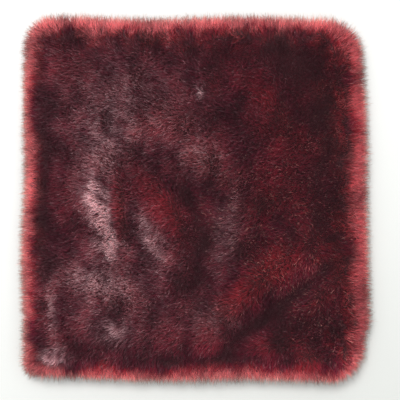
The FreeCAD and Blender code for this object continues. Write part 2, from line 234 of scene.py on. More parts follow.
@dataclass(frozen=True)
class CoverShape:
    """The cover's outline and the heights of its two backings.

    Attributes:
        width: over the pile, across the zip side.
        length: over the pile, away from the zip.
        rim: pile outside the seam line.
        seam_height: height of the plane where the panels meet.
        corners: the corner rounds, going round from the near left one.
        zip_y: middle of the zip's teeth.
        zip_half: half height of the channel.
        tape_back: inner edge of the zip tapes.
        tape_end: half length of the zip tapes.
        channel_behind: where the backings part for the zip, inward of the tapes.
        channel_beyond: where they close again, past the tapes' ends.
        edge_ease: depth over which a backing leaves the seam plane by a factor e.
        seam_gap: from the seam plane to a backing at the seam line.
        swell: how much further it is over the middle.
        roll: height of its gentle rolling.
        roll_length: typical distance between two rolls.
        shifts: how the laid edge departs from the outline.
        fold_height: of a ridge of strength 1 in the laid front panel.
        ridges: where the front panel stands up, and where its pile is brightened with painted light.
        hollows: where its pile is pressed shorter and darkened with painted shade.
    """

    width: float = 0.452
    length: float = 0.470
    rim: float = 0.012
    seam_height: float = 0.013
    corners: tuple[CornerRound, ...] = (
        CornerRound(-1, -1, 0.022, 0.0, 0.003),
        CornerRound(1, -1, 0.050),
        CornerRound(1, 1, 0.050, 0.010),
        CornerRound(-1, 1, 0.038, 0.003),
    )
    zip_y: float = -0.219
    zip_half: float = 0.0050
    tape_back: float = -0.206
    tape_end: float = 0.192
    channel_behind: tuple[float, float] = (0.016, 0.005)
    channel_beyond: tuple[float, float] = (0.007, 0.014)
    edge_ease: float = 0.010
    seam_gap: float = 0.0004
    swell: float = 0.0012
    roll: float = 0.0006
    roll_length: float = 0.12
    shifts: EdgeShifts = EdgeShifts()
    fold_height: float = 0.003
    ridges: tuple[Patch, ...] = (
        Patch(0.35, -0.46, 0.40, 0.08, 40, 1.1),  # bank along the diagonal crease
        Patch(-0.15, -0.05, 0.22, 0.08, -50, 0.8),  # left bank of the crescent
        Patch(0.40, -0.02, 0.20, 0.08, 25, 0.5),  # right of the middle
        Patch(0.50, 0.45, 0.35, 0.10, -55, 0.6),  # long swell, far right
        Patch(0.05, 0.20, 0.15, 0.10, -40, 0.6),  # just past the middle
        Patch(-0.42, -0.05, 0.15, 0.03, 95, 0.8),  # beside the pale streak
        Patch(0.45, -0.80, 0.12, 0.08, 30, 0.6),  # near side, right of the middle
        Patch(0.65, -0.88, 0.06, 0.05, 0, 0.9),  # lobe at the near edge
        Patch(0.72, -0.50, 0.20, 0.07, 50, 0.5),  # right end of the crease
        Patch(-0.25, 0.40, 0.15, 0.10, 0, 0.4),  # far left of the middle
    )
    hollows: tuple[Patch, ...] = (
        Patch(0.50, -0.57, 0.45, 0.07, 38, 1.25),  # the diagonal crease
        Patch(0.02, -0.12, 0.28, 0.09, -65, 1.0),  # the crescent
        Patch(0.03, -0.42, 0.20, 0.06, 90, 0.6),  # the crescent's tail
        Patch(0.65, 0.50, 0.45, 0.12, -70, 0.7),  # far right
        Patch(0.40, 0.80, 0.45, 0.08, 0, 0.6),  # along the far side, right half
        Patch(-0.55, 0.86, 0.35, 0.05, 0, 0.6),  # along the far side, left half
        Patch(-0.85, 0.10, 0.75, 0.07, 90, 0.9),  # along the left side
        Patch(0.00, -0.86, 0.45, 0.04, 0, 0.6),  # along the near side
    )

    def centres(self) -> np.ndarray:
        """Centres of the corner rounds, set in from the sides by their radii.

        Returns:
            x and y of each centre.
        """
        return np.array(
            [
                (
                    c.side * (self.width / 2 - c.side_in - c.radius),
                    c.end * (self.length / 2 - c.end_in - c.radius),
                )
                for c in self.corners
            ]
        )

    def radii(self) -> np.ndarray:
        """Radii of the corner rounds at the seam line."""
        return np.array([c.radius - self.rim for c in self.corners])

    def side_normals(self) -> np.ndarray:
        """Outward normal of the straight side after each corner, the common tangent.

        Returns:
            One unit vector for each side.
        """
        centres, radii = self.centres(), self.radii()
        step = np.roll(centres, -1, axis=0) - centres
        span = np.linalg.norm(step, axis=1, keepdims=True)
        along = step / span
        across = np.stack([along[:, 1], -along[:, 0]], axis=1)
        lean = (radii - np.roll(radii, -1))[:, None] / span
        return along * lean + across * np.sqrt(1.0 - lean**2)

    def side_depths(self, points: np.ndarray) -> np.ndarray:
        """How far each point lies inside each straight side, one column a side."""
        normals, centres, radii = self.side_normals(), self.centres(), self.radii()
        return (centres * normals).sum(axis=1) + radii - points @ normals.T

    def depth(self, points: np.ndarray) -> np.ndarray:
        """Distance inside the seam line, negative outside it.

        It is the least depth behind the straight sides, or the depth behind a corner's arc
        where the point lies in the wedge between that corner's two side normals.

        Args:
            points: x and y of each place.

        Returns:
            One distance for each point.
        """
        best = self.side_depths(points).min(axis=1)
        normals, centres, radii = self.side_normals(), self.centres(), self.radii()
        for index, centre in enumerate(centres):
            ray = points - centre
            before, after = normals[index - 1], normals[index]
            past_first = before[0] * ray[:, 1] - before[1] * ray[:, 0] > 0
            before_last = ray[:, 0] * after[1] - ray[:, 1] * after[0] > 0
            wedge = past_first & before_last
            arc = radii[index] - np.linalg.norm(ray, axis=1)
            best = np.where(wedge, arc, best)
        return best

    def outward(self, points: np.ndarray, reach: float = 0.018) -> np.ndarray:
        """Direction to the nearest edge, the sides' normals weighted by nearness.

        Args:
            points: x and y of each place.
            reach: distance over which a side's pull fades by a factor e.

        Returns:
            A unit vector for each point.
        """
        depths = self.side_depths(points)
        weights = np.exp(-(depths - depths.min(axis=1, keepdims=True)) / reach)
        return unit(weights @ self.side_normals())

    def seam_radius(self, angles: np.ndarray, inset: float = 0.0) -> np.ndarray:
        """Distance from the origin to the seam line along each angle.

        The outline is convex, so it is the least h(n) / (n . u) over directions n, where
        h(n) is the furthest the corner discs reach along n.

        Args:
            angles: directions in radians.
            inset: how far inside the seam line to stay.

        Returns:
            One distance for each angle.
        """
        turn = np.linspace(0.0, FULL_TURN, 1440, endpoint=False)
        normals = np.stack([np.cos(turn), np.sin(turn)], axis=1)
        support = (normals @ self.centres().T + self.radii()).max(axis=1) - inset
        facing = np.cos(angles[:, None] - turn[None, :])
        ratio = np.where(facing > 0.05, support / np.maximum(facing, 0.05), np.inf)
        return ratio.min(axis=1)

    def settle(self, points: np.ndarray) -> np.ndarray:
        """Places on the true outline moved to where the laid cloth has them."""
        return self.shifts.moved(points)

    def near_zip(
        self, points: np.ndarray, behind: tuple[float, float], beyond: tuple[float, float]
    ) -> np.ndarray:
        """1 along the zip, easing to 0 away from it.

        Args:
            points: x and y of each place.
            behind: distances inward of the tapes' inner edge where it starts and is full.
            beyond: distances past the tapes' ends where it starts to fade and is gone.

        Returns:
            One number for each point.
        """
        inner, end = -self.tape_back, self.tape_end
        across = smooth(-points[:, 1], inner - behind[0], inner - behind[1])
        return across * (1.0 - smooth(np.abs(points[:, 0]), end + beyond[0], end + beyond[1]))

    def backing_level(self, points: np.ndarray, side: Side) -> np.ndarray:
        """Height of a backing's inner face above the surface it lies on.

        It leaves the seam plane at the edge, rises like 1 - exp(-depth) to its own level,
        rolls gently, lifts at the ridges, and clears the zip's channel along the near side.
        It never sinks at a hollow, where the lining below would stop it.

        Args:
            points: x and y of each place.
            side: the front or rear layer.

        Returns:
            One height for each point.
        """
        depth = np.maximum(self.depth(points), 0.0)
        rise = 1.0 - np.exp(-depth / self.edge_ease)
        wander = np.maximum(Ripple(ROLL_SEED, self.roll_length).at(points) + 1.2, 0.0)
        roll = self.roll * wander * rise
        away = self.seam_gap + self.swell * rise
        if side is Side.FRONT:
            ridge = np.maximum(self.relief(points), 0.0)
            away = away + roll + ridge * smooth(depth, 0.004, 0.02)
        share = self.near_zip(points, self.channel_behind, self.channel_beyond)
        away = away * (1.0 - share) + (self.zip_half + 0.0003) * share
        return self.seam_height + side.value * away

    def shares(self, points: np.ndarray) -> np.ndarray:
        """Places as shares of the cover's half width and half length."""
        return points[:, :2] / (self.width / 2, self.length / 2)

    def relief(self, points: np.ndarray) -> np.ndarray:
        """Height of the laid front panel's folds, the ridges less the hollows."""
        shares = self.shares(points)
        rise = patches_at(self.ridges, shares) - patches_at(self.hollows, shares)
        return self.fold_height * rise

    def slope(self, points: np.ndarray) -> np.ndarray:
        """Slope of the relief along x and y, from heights half a millimetre apart."""
        step = 0.0005
        rises = [
            self.relief(points + offset) - self.relief(points - offset)
            for offset in (np.array([step, 0.0]), np.array([0.0, step]))
        ]
        return np.stack(rises, axis=1) / (2 * step)


# ---- node helpers ----------------------------------------------------------------------


class Nodes:
    """A thin helper for building a node tree."""

    def __init__(self, tree: bpy.types.NodeTree) -> None:
        """Keep the tree."""
        self.tree = tree

    def add(self, kind: str, **settings: object) -> bpy.types.Node:
        """Add a node and set its properties by name."""
        node = self.tree.nodes.new(kind)
        for name, setting in settings.items():
            setattr(node, name, setting)
        return node

    def link(self, source: bpy.types.NodeSocket, target: bpy.types.NodeSocket) -> None:
        """Join two sockets."""
        self.tree.links.new(source, target)

    def put(self, target: bpy.types.NodeSocket, source: object) -> None:
        """Link a socket, or set its value when the source is plain."""
        if isinstance(source, bpy.types.NodeSocket):
            self.link(source, target)
        else:
            target.default_value = source

    def attribute(self, name: str) -> bpy.types.NodeSocket:
        """A number stored on the mesh."""
        return self.add("ShaderNodeAttribute", attribute_name=name).outputs["Fac"]

    def maths(self, operation: str, *values: object) -> bpy.types.NodeSocket:
        """A Math node of sockets and numbers."""
        node = self.add("ShaderNodeMath", operation=operation)
        for socket, source in zip(node.inputs, values):
            self.put(socket, source)
        return node.outputs[0]

    def mix(self, factor: object, first: object, second: object) -> bpy.types.NodeSocket:
        """Blend two colours by a factor."""
        node = self.add("ShaderNodeMix", data_type="RGBA")
        for socket, source in zip((node.inputs[0], node.inputs[6], node.inputs[7]),
                                  (factor, first, second)):
            self.put(socket, source)
        return node.outputs[2]

    def multiply(self, first: object, second: object) -> bpy.types.NodeSocket:
        """Multiply two colours."""
        node = self.add("ShaderNodeMix", data_type="RGBA", blend_type="MULTIPLY")
        for socket, source in zip((node.inputs[0], node.inputs[6], node.inputs[7]),
                                  (1.0, first, second)):
            self.put(socket, source)
        return node.outputs[2]

    def ramp(self, factor: object, stops: list[tuple[float, tuple]]) -> bpy.types.NodeSocket:
        """A colour ramp.

        Args:
            factor: where to read it, from 0 to 1.
            stops: a place and a colour for each stop, in order.

        Returns:
            The colour's socket.
        """
        node = self.add("ShaderNodeValToRGB")
        elements = node.color_ramp.elements
        elements[0].position, elements[0].color = stops[0]
        elements[1].position, elements[1].color = stops[-1]
        for place, colour in stops[1:-1]:
            elements.new(place).color = colour
        self.put(node.inputs[0], factor)
        return node.outputs[0]

    def noise(self, scale: float, detail: float = 3.0) -> bpy.types.NodeSocket:
        """Noise over the piece's own coordinates, in cycles a metre."""
        place = self.add("ShaderNodeTexCoord").outputs["Object"]
        node = self.add("ShaderNodeTexNoise")
        node.inputs["Scale"].default_value = scale
        node.inputs["Detail"].default_value = detail
        self.link(place, node.inputs["Vector"])
        return node.outputs["Fac"]

    def bump(self, height: object, distance: float, strength: float) -> bpy.types.NodeSocket:
        """A bump normal from a height."""
        node = self.add("ShaderNodeBump")
        node.inputs["Distance"].default_value = distance
        node.inputs["Strength"].default_value = strength
        self.put(node.inputs["Height"], height)
        return node.outputs["Normal"]


Colour = tuple[float, float, float]


def rgba(colour: Colour) -> tuple[float, float, float, float]:
    """A colour with full cover."""
    return (*colour, 1.0)


def new_material(name: str) -> tuple[bpy.types.Material, Nodes, bpy.types.Node]:
    """A material with its node helper and its shader."""
    material = bpy.data.materials.new(name)
    material.use_nodes = True
    nodes = Nodes(material.node_tree)
    return material, nodes, material.node_tree.nodes["Principled BSDF"]


@dataclass(frozen=True)
class WeaveEffect:
    """The shared node group for woven and knitted cloth.

    Attributes:
        name: the group's name.
    """

    name: str = "Weave"

    def group(self) -> bpy.types.NodeTree:
        """Crossed sine threads: a colour with painted shade in the gaps, a roughness and a height.

        Returns:
            The group, built on the first call and found again after it.
        """
        if self.name in bpy.data.node_groups:
            return bpy.data.node_groups[self.name]
        tree = bpy.data.node_groups.new(self.name, "ShaderNodeTree")
        for label, kind, way in (
            ("Threads", "NodeSocketFloat", "INPUT"),
            ("Dark", "NodeSocketColor", "INPUT"),
            ("Light", "NodeSocketColor", "INPUT"),
            ("Colour", "NodeSocketColor", "OUTPUT"),
            ("Roughness", "NodeSocketFloat", "OUTPUT"),
            ("Height", "NodeSocketFloat", "OUTPUT"),
        ):
            tree.interface.new_socket(name=label, in_out=way, socket_type=kind)
        nodes = Nodes(tree)
        given = nodes.add("NodeGroupInput")
        result = nodes.add("NodeGroupOutput")
        place = nodes.add("ShaderNodeTexCoord").outputs["Object"]
        split = nodes.add("ShaderNodeSeparateXYZ")
        nodes.link(place, split.inputs[0])
        waves = []
        for axis in range(2):
            phase = nodes.maths("MULTIPLY", split.outputs[axis], given.outputs["Threads"])
            waves.append(nodes.maths("SINE", phase))
        product = nodes.maths("MULTIPLY", *waves)
        height = nodes.maths("MULTIPLY_ADD", product, 0.5, 0.5)
        fuzz = nodes.noise(2600.0)
        # Painted shade: darker in the gaps between the threads and lighter on their tops, mixed with
        # random fuzz.
        lit = nodes.maths("MULTIPLY_ADD", fuzz, 0.5, nodes.maths("MULTIPLY", height, 0.6))
        colour = nodes.mix(lit, given.outputs["Dark"], given.outputs["Light"])
        rough = nodes.maths("MULTIPLY_ADD", fuzz, 0.2, 0.7)
        nodes.link(colour, result.inputs["Colour"])
        nodes.link(rough, result.inputs["Roughness"])
        nodes.link(height, result.inputs["Height"])
        return tree


@dataclass(frozen=True)
class ClothFinish:
    """Woven or knitted cloth.

    Attributes:
        name: the material's name.
        dark: colour between the threads, painted shade in the gaps.
        light: colour on the threads.
        threads: threads a metre.
        relief: height of the threads.
    """

    name: str
    dark: Colour
    light: Colour
    threads: float
    relief: float = 0.0002

    def material(self) -> bpy.types.Material:
        """Build the cloth's material.

        Returns:
            The material, with the weave's group in it.
        """
        material, nodes, shader = new_material(self.name)
        weave = nodes.add("ShaderNodeGroup", node_tree=WeaveEffect().group())
        weave.inputs["Threads"].default_value = self.threads * FULL_TURN
        weave.inputs["Dark"].default_value = rgba(self.dark)
        weave.inputs["Light"].default_value = rgba(self.light)
        nodes.link(weave.outputs["Colour"], shader.inputs["Base Color"])
        nodes.link(weave.outputs["Roughness"], shader.inputs["Roughness"])
        nodes.link(
            nodes.bump(weave.outputs["Height"], self.relief, 0.6), shader.inputs["Normal"]
        )
        shader.inputs["Sheen Weight"].default_value = 0.2
        return material


@dataclass(frozen=True)
class PileFinish:
    """The fibres of the plush, pale coral at the root and nearly black at the tip.

    Attributes:
        name: the material's name.
        shut: colours from root to tip where the pile lies closed.
        glow: the same where the light reaches into the pile.
        open: the same along the edge band, the shafts' own coral brightened by painted light shining
            through the thin pile.
        bleached: the same at the outermost edge, the shafts' own coral brightened and the tips
            olive-grey, as painted light shining through the thin strands.
        frost: the same as painted sheen, where the fibres catch the light.
    """

    name: str = "plush pile"
    shut: tuple[tuple[float, Colour], ...] = (
        (0.0, (0.28, 0.020, 0.056)),
        (0.45, (0.25, 0.016, 0.047)),
        (0.75, (0.135, 0.0110, 0.033)),
        (1.0, (0.056, 0.0075, 0.021)),
    )
    glow: tuple[tuple[float, Colour], ...] = (
        (0.0, (0.52, 0.032, 0.052)),
        (0.5, (0.46, 0.028, 0.046)),
        (1.0, (0.29, 0.024, 0.038)),
    )
    open: tuple[tuple[float, Colour], ...] = (
        (0.0, (0.84, 0.190, 0.205)),
        (0.6, (0.82, 0.180, 0.195)),
        (1.0, (0.70, 0.150, 0.162)),
    )
    bleached: tuple[tuple[float, Colour], ...] = (
        (0.0, (0.88, 0.250, 0.240)),
        (0.5, (0.86, 0.250, 0.240)),
        (0.68, (0.75, 0.330, 0.285)),
        (0.84, (0.62, 0.405, 0.312)),
        (1.0, (0.46, 0.380, 0.270)),
    )
    frost: tuple[tuple[float, Colour], ...] = (
        (0.0, (0.64, 0.300, 0.320)),
        (0.5, (0.80, 0.450, 0.480)),
        (1.0, (0.94, 0.680, 0.700)),
    )

    def material(self) -> bpy.types.Material:
        """Build the fibre material from the strands' own attributes.

        Returns:
            The material; it reads along, tint, glow, open, bleached and frost from the mesh.
        """
        material, nodes, shader = new_material(self.name)
        along = nodes.attribute("along")
        tint = nodes.attribute("tint")
        shut, glowing, coral_and_backlight, outer_rim, sheen_paint = (
            nodes.ramp(along, [(place, rgba(colour)) for place, colour in stops])
            for stops in (self.shut, self.glow, self.open, self.bleached, self.frost)
        )
        # Painted light: the glow ramp brightens the pile on the ridges and just inside the edge band.
        colour = nodes.mix(nodes.attribute("glow"), shut, glowing)
        # The edge band: the shafts' own coral, brightened as painted light through the thin pile.
        colour = nodes.mix(nodes.attribute("open"), colour, coral_and_backlight)
        # The outer rim: coral shafts and olive-grey tips, as painted light through the thin strands.
        colour = nodes.mix(nodes.attribute("bleached"), colour, outer_rim)
        # Painted sheen: pale pink where the fibres catch the light.
        colour = nodes.mix(nodes.attribute("frost"), colour, sheen_paint)
        # Random variation, darkened by the painted shade in the hollows and raised under the painted
        # sheen.
        shade = nodes.ramp(tint, [(0.0, (0.26, 0.26, 0.28, 1)), (1.0, (1.74, 1.74, 1.72, 1))])
        colour = nodes.multiply(colour, shade)
        nodes.link(colour, shader.inputs["Base Color"])
        grain = nodes.noise(1800.0)
        rough = nodes.maths("MULTIPLY_ADD", grain, 0.25, 0.42)
        nodes.link(rough, shader.inputs["Roughness"])
        nodes.link(nodes.bump(grain, 0.0001, 0.4), shader.inputs["Normal"])
        shader.inputs["Specular IOR Level"].default_value = 0.15
        shader.inputs["Sheen Weight"].default_value = 0.05
        return material


@dataclass(frozen=True)
class HardFinish:
    """Metal or moulded plastic with fine wear.

    Attributes:
        name: the material's name.
        colour: of the sound surface.
        worn: of rubbed places.
        roughness: of the sound surface.
        metallic: 1 for bare metal.
    """

    name: str
    colour: Colour
    worn: Colour
    roughness: float
    metallic: float = 0.0

    def material(self) -> bpy.types.Material:
        """Build the hard surface's material.

        Returns:
            The material; fine noise wears and roughens it.
        """
        material, nodes, shader = new_material(self.name)
        speck = nodes.noise(900.0, 5.0)
        wear = nodes.ramp(speck, [(0.55, (0, 0, 0, 1)), (0.75, (0.6, 0.6, 0.6, 1))])
        colour = nodes.mix(wear, rgba(self.colour), rgba(self.worn))
        nodes.link(colour, shader.inputs["Base Color"])
        rough = nodes.maths("MULTIPLY_ADD", speck, 0.2, self.roughness)
        nodes.link(rough, shader.inputs["Roughness"])
        nodes.link(nodes.bump(speck, 0.00005, 0.3), shader.inputs["Normal"])
        shader.inputs["Metallic"].default_value = self.metallic
        return material


# ---- surfaces from grids ---------------------------------------------------------------


def link_mesh(name: str, mesh: bpy.types.Mesh, material: bpy.types.Material) -> bpy.types.Object:
    """Put a finished mesh in the scene as a piece at the origin."""
    mesh.materials.append(material)
    piece = bpy.data.objects.new(name, mesh)
    bpy.context.scene.collection.objects.link(piece)
    return piece


def grid_mesh(
    name: str, grid: np.ndarray, wrap: bool, caps: bool, material: bpy.types.Material
) -> bpy.types.Object:
    """A smooth surface through a grid of points, rows by columns.

    Columns close on themselves when wrap is set. Caps close the first and last row with one
    face each. The bake map lays rows along v and columns along u, with the caps beside them.

    Args:
        name: the piece's name.
        grid: points, shaped (rows, columns, 3), turning left about the outward side.
        wrap: whether the last column joins the first.
        caps: whether the end rows are closed.
        material: what it is made of.

    Returns:
        The piece.
    """
    rows, columns = grid.shape[:2]
    steps = columns if wrap else columns - 1
    r, c = np.meshgrid(np.arange(rows - 1), np.arange(steps), indexing="ij")
    following = (c + 1) % columns
    quads = np.stack(
        [r * columns + c, r * columns + following, (r + 1) * columns + following,
         (r + 1) * columns + c], axis=-1,
    ).reshape(-1, 4)
    u0, u1 = c / steps, (c + 1) / steps
    v0, v1 = r / (rows - 1), (r + 1) / (rows - 1)
    corners = np.stack(
        [np.stack([u0, v0], -1), np.stack([u1, v0], -1), np.stack([u1, v1], -1),
         np.stack([u0, v1], -1)], axis=2,
    ).reshape(-1, 2)
    corners = corners * np.array([0.96, 0.88]) + np.array([0.02, 0.10])
    faces = [tuple(q) for q in quads.tolist()]
    maps = [corners]
    if caps:
        around = np.linspace(0.0, FULL_TURN, columns, endpoint=False)
        ring = np.stack([np.cos(around), np.sin(around)], axis=1) * 0.03
        faces.append(tuple(range(columns - 1, -1, -1)))
        maps.append(ring[::-1] + np.array([0.05, 0.05]))
        faces.append(tuple(range((rows - 1) * columns, rows * columns)))
        maps.append(ring + np.array([0.15, 0.05]))
    mesh = bpy.data.meshes.new(name)
    mesh.from_pydata(grid.reshape(-1, 3).tolist(), [], faces)
    layer = mesh.uv_layers.new(name=BAKE_MAP)
    layer.data.foreach_set("uv", np.concatenate(maps).astype(np.float32).ravel())
    mesh.polygons.foreach_set("use_smooth", np.ones(len(faces), bool))
    mesh.update()
    return link_mesh(name, mesh, material)


@dataclass
class LaidCloth:
    """A cloth of the cover's outline, laid flat with its own thickness.

    Attributes:
        name: the piece's name.
        shape: the cover's shape.
        inset: how far inside the seam line it ends.
        thickness: of the cloth.
        around: points round the outline.
        rings: points from the middle to the edge.
    """

    name: str
    shape: CoverShape
    inset: float
    thickness: float
    around: int = 256
    rings: int = 36

    def build(
        self,
        lower: "object",
        material: bpy.types.Material,
        near_limit: float | None = None,
    ) -> bpy.types.Object:
        """Sweep a ray of points from the top's middle, over the rim, to the under side's.

        A point at share s of the ray and angle a lies at s R(a) (cos a, sin a), with R the
        distance to the seam line. The upper face is the lower one plus the thickness.

        Args:
            lower: function from x and y to the height of the under face.
            material: the cloth's finish.
            near_limit: where the cloth is cut off on the zip side.

        Returns:
            The piece.
        """
        angles = np.linspace(0.0, FULL_TURN, self.around, endpoint=False)
        edge = self.shape.seam_radius(angles, self.inset)
        share = np.linspace(0.0, 1.0, self.rings + 1)[1:] ** 0.8
        radius = share[:, None] * edge[None, :]
        flat = np.stack([radius * np.cos(angles), radius * np.sin(angles)], axis=-1)
        if near_limit is not None:
            flat[..., 1] = np.maximum(flat[..., 1], near_limit)
        points = self.shape.settle(flat.reshape(-1, 2))
        under = lower(points)
        top = np.column_stack([points, under + self.thickness]).reshape(*flat.shape[:2], 3)
        bottom = np.column_stack([points, under]).reshape(*flat.shape[:2], 3)
        rim = (top[-1:] + bottom[-1:]) / 2
        swell = unit(rim[0, :, :2]) * self.thickness * 0.35
        rim[0, :, :2] += swell
        grid = np.concatenate([bottom, rim, top[::-1]], axis=0)
        return grid_mesh(self.name, grid, True, True, material)

    def area(self) -> float:
        """Area inside the outline, half the sum of R squared times the step."""
        angles = np.linspace(0.0, FULL_TURN, 720, endpoint=False)
        edge = self.shape.seam_radius(angles, self.inset)
        return float((edge**2).sum() / 2 * FULL_TURN / len(angles))


# ---- the pile --------------------------------------------------------------------------


@dataclass(frozen=True)
class PilePattern:
    """Where painted sheen lies on the pile, and where its edge is trimmed.

    Attributes:
        sheen_patches: places of painted sheen, where the fibres' pale tips catch the light.
        trimmed: stretches of edge where the pile is longer, or shorter where negative.
    """

    sheen_patches: tuple[Patch, ...] = (
        Patch(-0.54, -0.03, 0.10, 0.055, 100, 1.8),  # far end of the pale streak
        Patch(-0.49, -0.20, 0.11, 0.04, 100, 1.5),  # its middle
        Patch(-0.48, -0.25, 0.08, 0.05, 0, 0.5),  # its foot
        Patch(-0.50, 0.30, 0.30, 0.12, 65, 0.28),  # haze beyond the streak
        Patch(-0.25, -0.20, 0.15, 0.06, -60, 0.5),  # right of the streak
        Patch(-0.55, -0.45, 0.15, 0.06, -15, 0.5),  # nearer than the streak
        Patch(-0.45, -0.72, 0.08, 0.05, 0, 0.7),  # patch towards the zip
        Patch(-0.80, -0.60, 0.13, 0.025, 95, 0.35),  # thin line at the left side
        Patch(-0.80, -0.88, 0.08, 0.06, 0, 1.1),  # near left corner
        Patch(0.04, 0.57, 0.025, 0.02, 90, 1.0),  # small spot
        Patch(0.20, -0.15, 0.20, 0.07, 80, 0.30),  # right of the crescent
        Patch(0.05, 0.22, 0.14, 0.10, -40, 0.25),  # just past the middle
        Patch(0.10, -0.65, 0.12, 0.08, 0, 0.25),  # middle of the near half
        Patch(-0.40, 0.50, 0.45, 0.30, 0, 0.20),  # broad haze, far left
        Patch(-0.45, -0.50, 0.40, 0.30, 0, 0.17),  # broad haze, near left
    )
    trimmed: tuple[Patch, ...] = (
        Patch(-0.95, 0.55, 0.16, 0.12, 90, -0.24),  # left side, shorter
        Patch(0.15, -0.95, 0.26, 0.10, 0, 0.24),  # near side, longer
    )


@dataclass(frozen=True)
class Lay:
    """How the strands lie. Angles are in degrees, and a pair is a lock's share and a strand's own.

    Attributes:
        heading: of the pile over the middle.
        heading_scatter: a pair, of the heading.
        swirl: swing of the heading from place to place.
        swirl_length: typical distance between two swirls.
        lock: size of a lock of strands.
        lean_scatter: a pair, of the lean from upright.
        straighter: share of the lean lost towards the right.
        straighter_band: places across between which it is lost.
        sway: swing of the lean from place to place.
        sway_length: typical distance between two sways.
        fan: lean at the seam line.
        fan_drop: how much less it is further in.
        fan_depth: depth over which it drops.
        fan_scatter: a pair, of the fan's lean.
        fan_turn: a pair, of the fan's heading.
        fan_limit: greatest lean of the fan.
        edge_start: depth where the fan starts to give way.
        edge_end: depth where it is gone.
        edge_swing: swing of that depth from place to place.
        edge_length: typical distance between two such swings.
        downhill: pull of the folds' slope on the lay.
        droop: middle and spread of how far the outer half of a strand sags.
        stray: spread of the outer half's direction.
    """

    heading: float = 186.0
    heading_scatter: tuple[float, float] = (5, 17)
    swirl: float = 14
    swirl_length: float = 0.085
    lock: float = 0.0040
    lean_scatter: tuple[float, float] = (2, 9)
    straighter: float = 0.55
    straighter_band: tuple[float, float] = (0.02, 0.19)
    sway: float = 6
    sway_length: float = 0.050
    fan: float = 91
    fan_drop: float = 34
    fan_depth: float = 0.016
    fan_scatter: tuple[float, float] = (4, 5)
    fan_turn: tuple[float, float] = (11, 18)
    fan_limit: float = 97
    edge_start: float = 0.003
    edge_end: float = 0.026
    edge_swing: float = 0.006
    edge_length: float = 0.040
    downhill: float = 1.6
    droop: tuple[float, float] = (0.14, 0.08)
    stray: float = 0.10


@dataclass(frozen=True)
class EdgeLook:
    """Sizes of the pale band and the pale outer tips along the edge, both partly painted light
    through the thin pile, and of the mottling inside it.

    Attributes:
        band: depth of the pale band.
        band_sides: how much deeper it is at both sides.
        band_right: how much deeper still at the right side.
        band_far: how much deeper at the far side.
        band_near: how much shallower at the near side.
        rag_lengths: typical distances between the band's long and short rags.
        outer_rim_start: depth where the pale outer tips start to give way.
        outer_rim: depth where they are gone.
        outer_rim_right: how much shallower that is at the right side.
        outer_rim_far: how much deeper at the far side, and shallower at the near one.
        outer_rim_scatter: spread of that depth.
        mottle_lengths: typical distances between two small and two large mottles.
        mottle_start: depths between which the folds' look comes in.
        sheen_start: depths between which the painted sheen comes in.
        sheen_rag: typical distance between the rags of a place of painted sheen.
    """

    band: float = 0.0055
    band_sides: float = 0.0010
    band_right: float = 0.0070
    band_far: float = 0.0050
    band_near: float = 0.0009
    rag_lengths: tuple[float, float] = (0.045, 0.014)
    outer_rim_start: float = 0.0012
    outer_rim: float = 0.0052
    outer_rim_right: float = 0.0022
    outer_rim_far: float = 0.0011
    outer_rim_scatter: float = 0.0010
    mottle_lengths: tuple[float, float] = (0.036, 0.080)
    mottle_start: tuple[float, float] = (0.004, 0.014)
    sheen_start: tuple[float, float] = (0.006, 0.018)
    sheen_rag: float = 0.013


@dataclass(frozen=True)
class Slit:
    """The gap in the pile that the slider and pull run in.

    Attributes:
        behind: where it starts and is full, inward of the tapes.
        beyond: where it starts to close and is gone, past the tapes' ends.
        spare: how far the pile stays off the zip's channel.
        lip: how much of that is given up in front of the teeth.
        lip_band: distances in front of the teeth between which it is given up.
    """

    behind: tuple[float, float] = (0.014, 0.002)
    beyond: tuple[float, float] = (0.011, 0.020)
    spare: float = 0.0006
    lip: float = 0.0020
    lip_band: tuple[float, float] = (0.008, 0.017)


